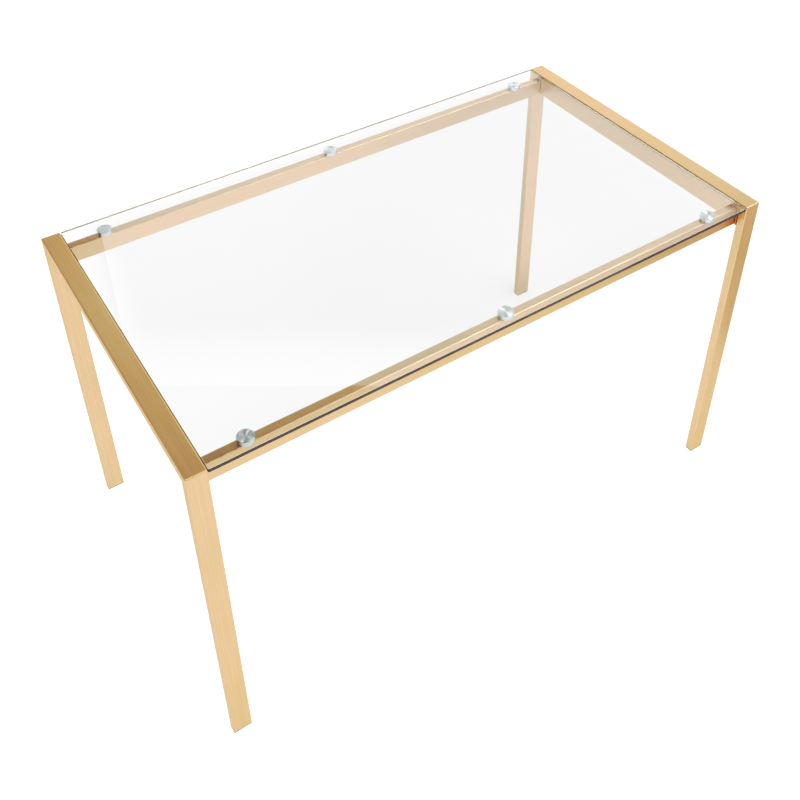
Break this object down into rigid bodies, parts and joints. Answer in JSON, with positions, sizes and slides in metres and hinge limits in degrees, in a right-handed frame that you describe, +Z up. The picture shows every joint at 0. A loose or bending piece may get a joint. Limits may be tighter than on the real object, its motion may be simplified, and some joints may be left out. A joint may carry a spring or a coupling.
{
  "type": "glass-top table",
  "caption": "Rectangular table with a clear glass top held between two gold inverted-U end frames, resting on metal discs on the side rails.",
  "frame": {"origin": "on the floor under the middle of the table", "axes": "+X along the table's length, -Y towards the front, +Z up"},
  "size_m": [1.276, 0.706, 0.75],
  "materials": {
    "gold_metal": "steel tube with a fine satin champagne-gold finish",
    "clear_glass": "clear tempered float glass with ground and polished edges",
    "spun_aluminium": "turned face with concentric fine rings, bright sides",
    "zinc_steel": "zinc-plated fasteners and plates",
    "foot_plastic": "moulded dark plastic caps"
  },
  "bodies": {
    "root": {"glass_top": "clear_glass", "left_top_bar": "gold_metal", "left_cross_rail": "gold_metal", "right_top_bar": "gold_metal", "right_cross_rail": "gold_metal", "front_rail": "gold_metal", "front_left_leg": "gold_metal", "front_left_foot_cap": "foot_plastic", "front_right_leg": "gold_metal", "front_right_foot_cap": "foot_plastic", "front_left_disc": "spun_aluminium", "front_left_disc_screw": "zinc_steel", "front_middle_disc": "spun_aluminium", "front_middle_disc_screw": "zinc_steel", "front_right_disc": "spun_aluminium", "front_right_disc_screw": "zinc_steel", "front_rail_left_end_plate": "zinc_steel", "front_rail_left_lower_bolt": "zinc_steel", "front_rail_left_upper_bolt": "zinc_steel", "front_rail_right_end_plate": "zinc_steel", "front_rail_right_lower_bolt": "zinc_steel", "front_rail_right_upper_bolt": "zinc_steel", "rear_rail": "gold_metal", "rear_left_leg": "gold_metal", "rear_left_foot_cap": "foot_plastic", "rear_right_leg": "gold_metal", "rear_right_foot_cap": "foot_plastic", "rear_left_disc": "spun_aluminium", "rear_left_disc_screw": "zinc_steel", "rear_middle_disc": "spun_aluminium", "rear_middle_disc_screw": "zinc_steel", "rear_right_disc": "spun_aluminium", "rear_right_disc_screw": "zinc_steel", "rear_rail_left_end_plate": "zinc_steel", "rear_rail_left_lower_bolt": "zinc_steel", "rear_rail_left_upper_bolt": "zinc_steel", "rear_rail_right_end_plate": "zinc_steel", "rear_rail_right_lower_bolt": "zinc_steel", "rear_rail_right_upper_bolt": "zinc_steel"}
  },
  "joints": []
}
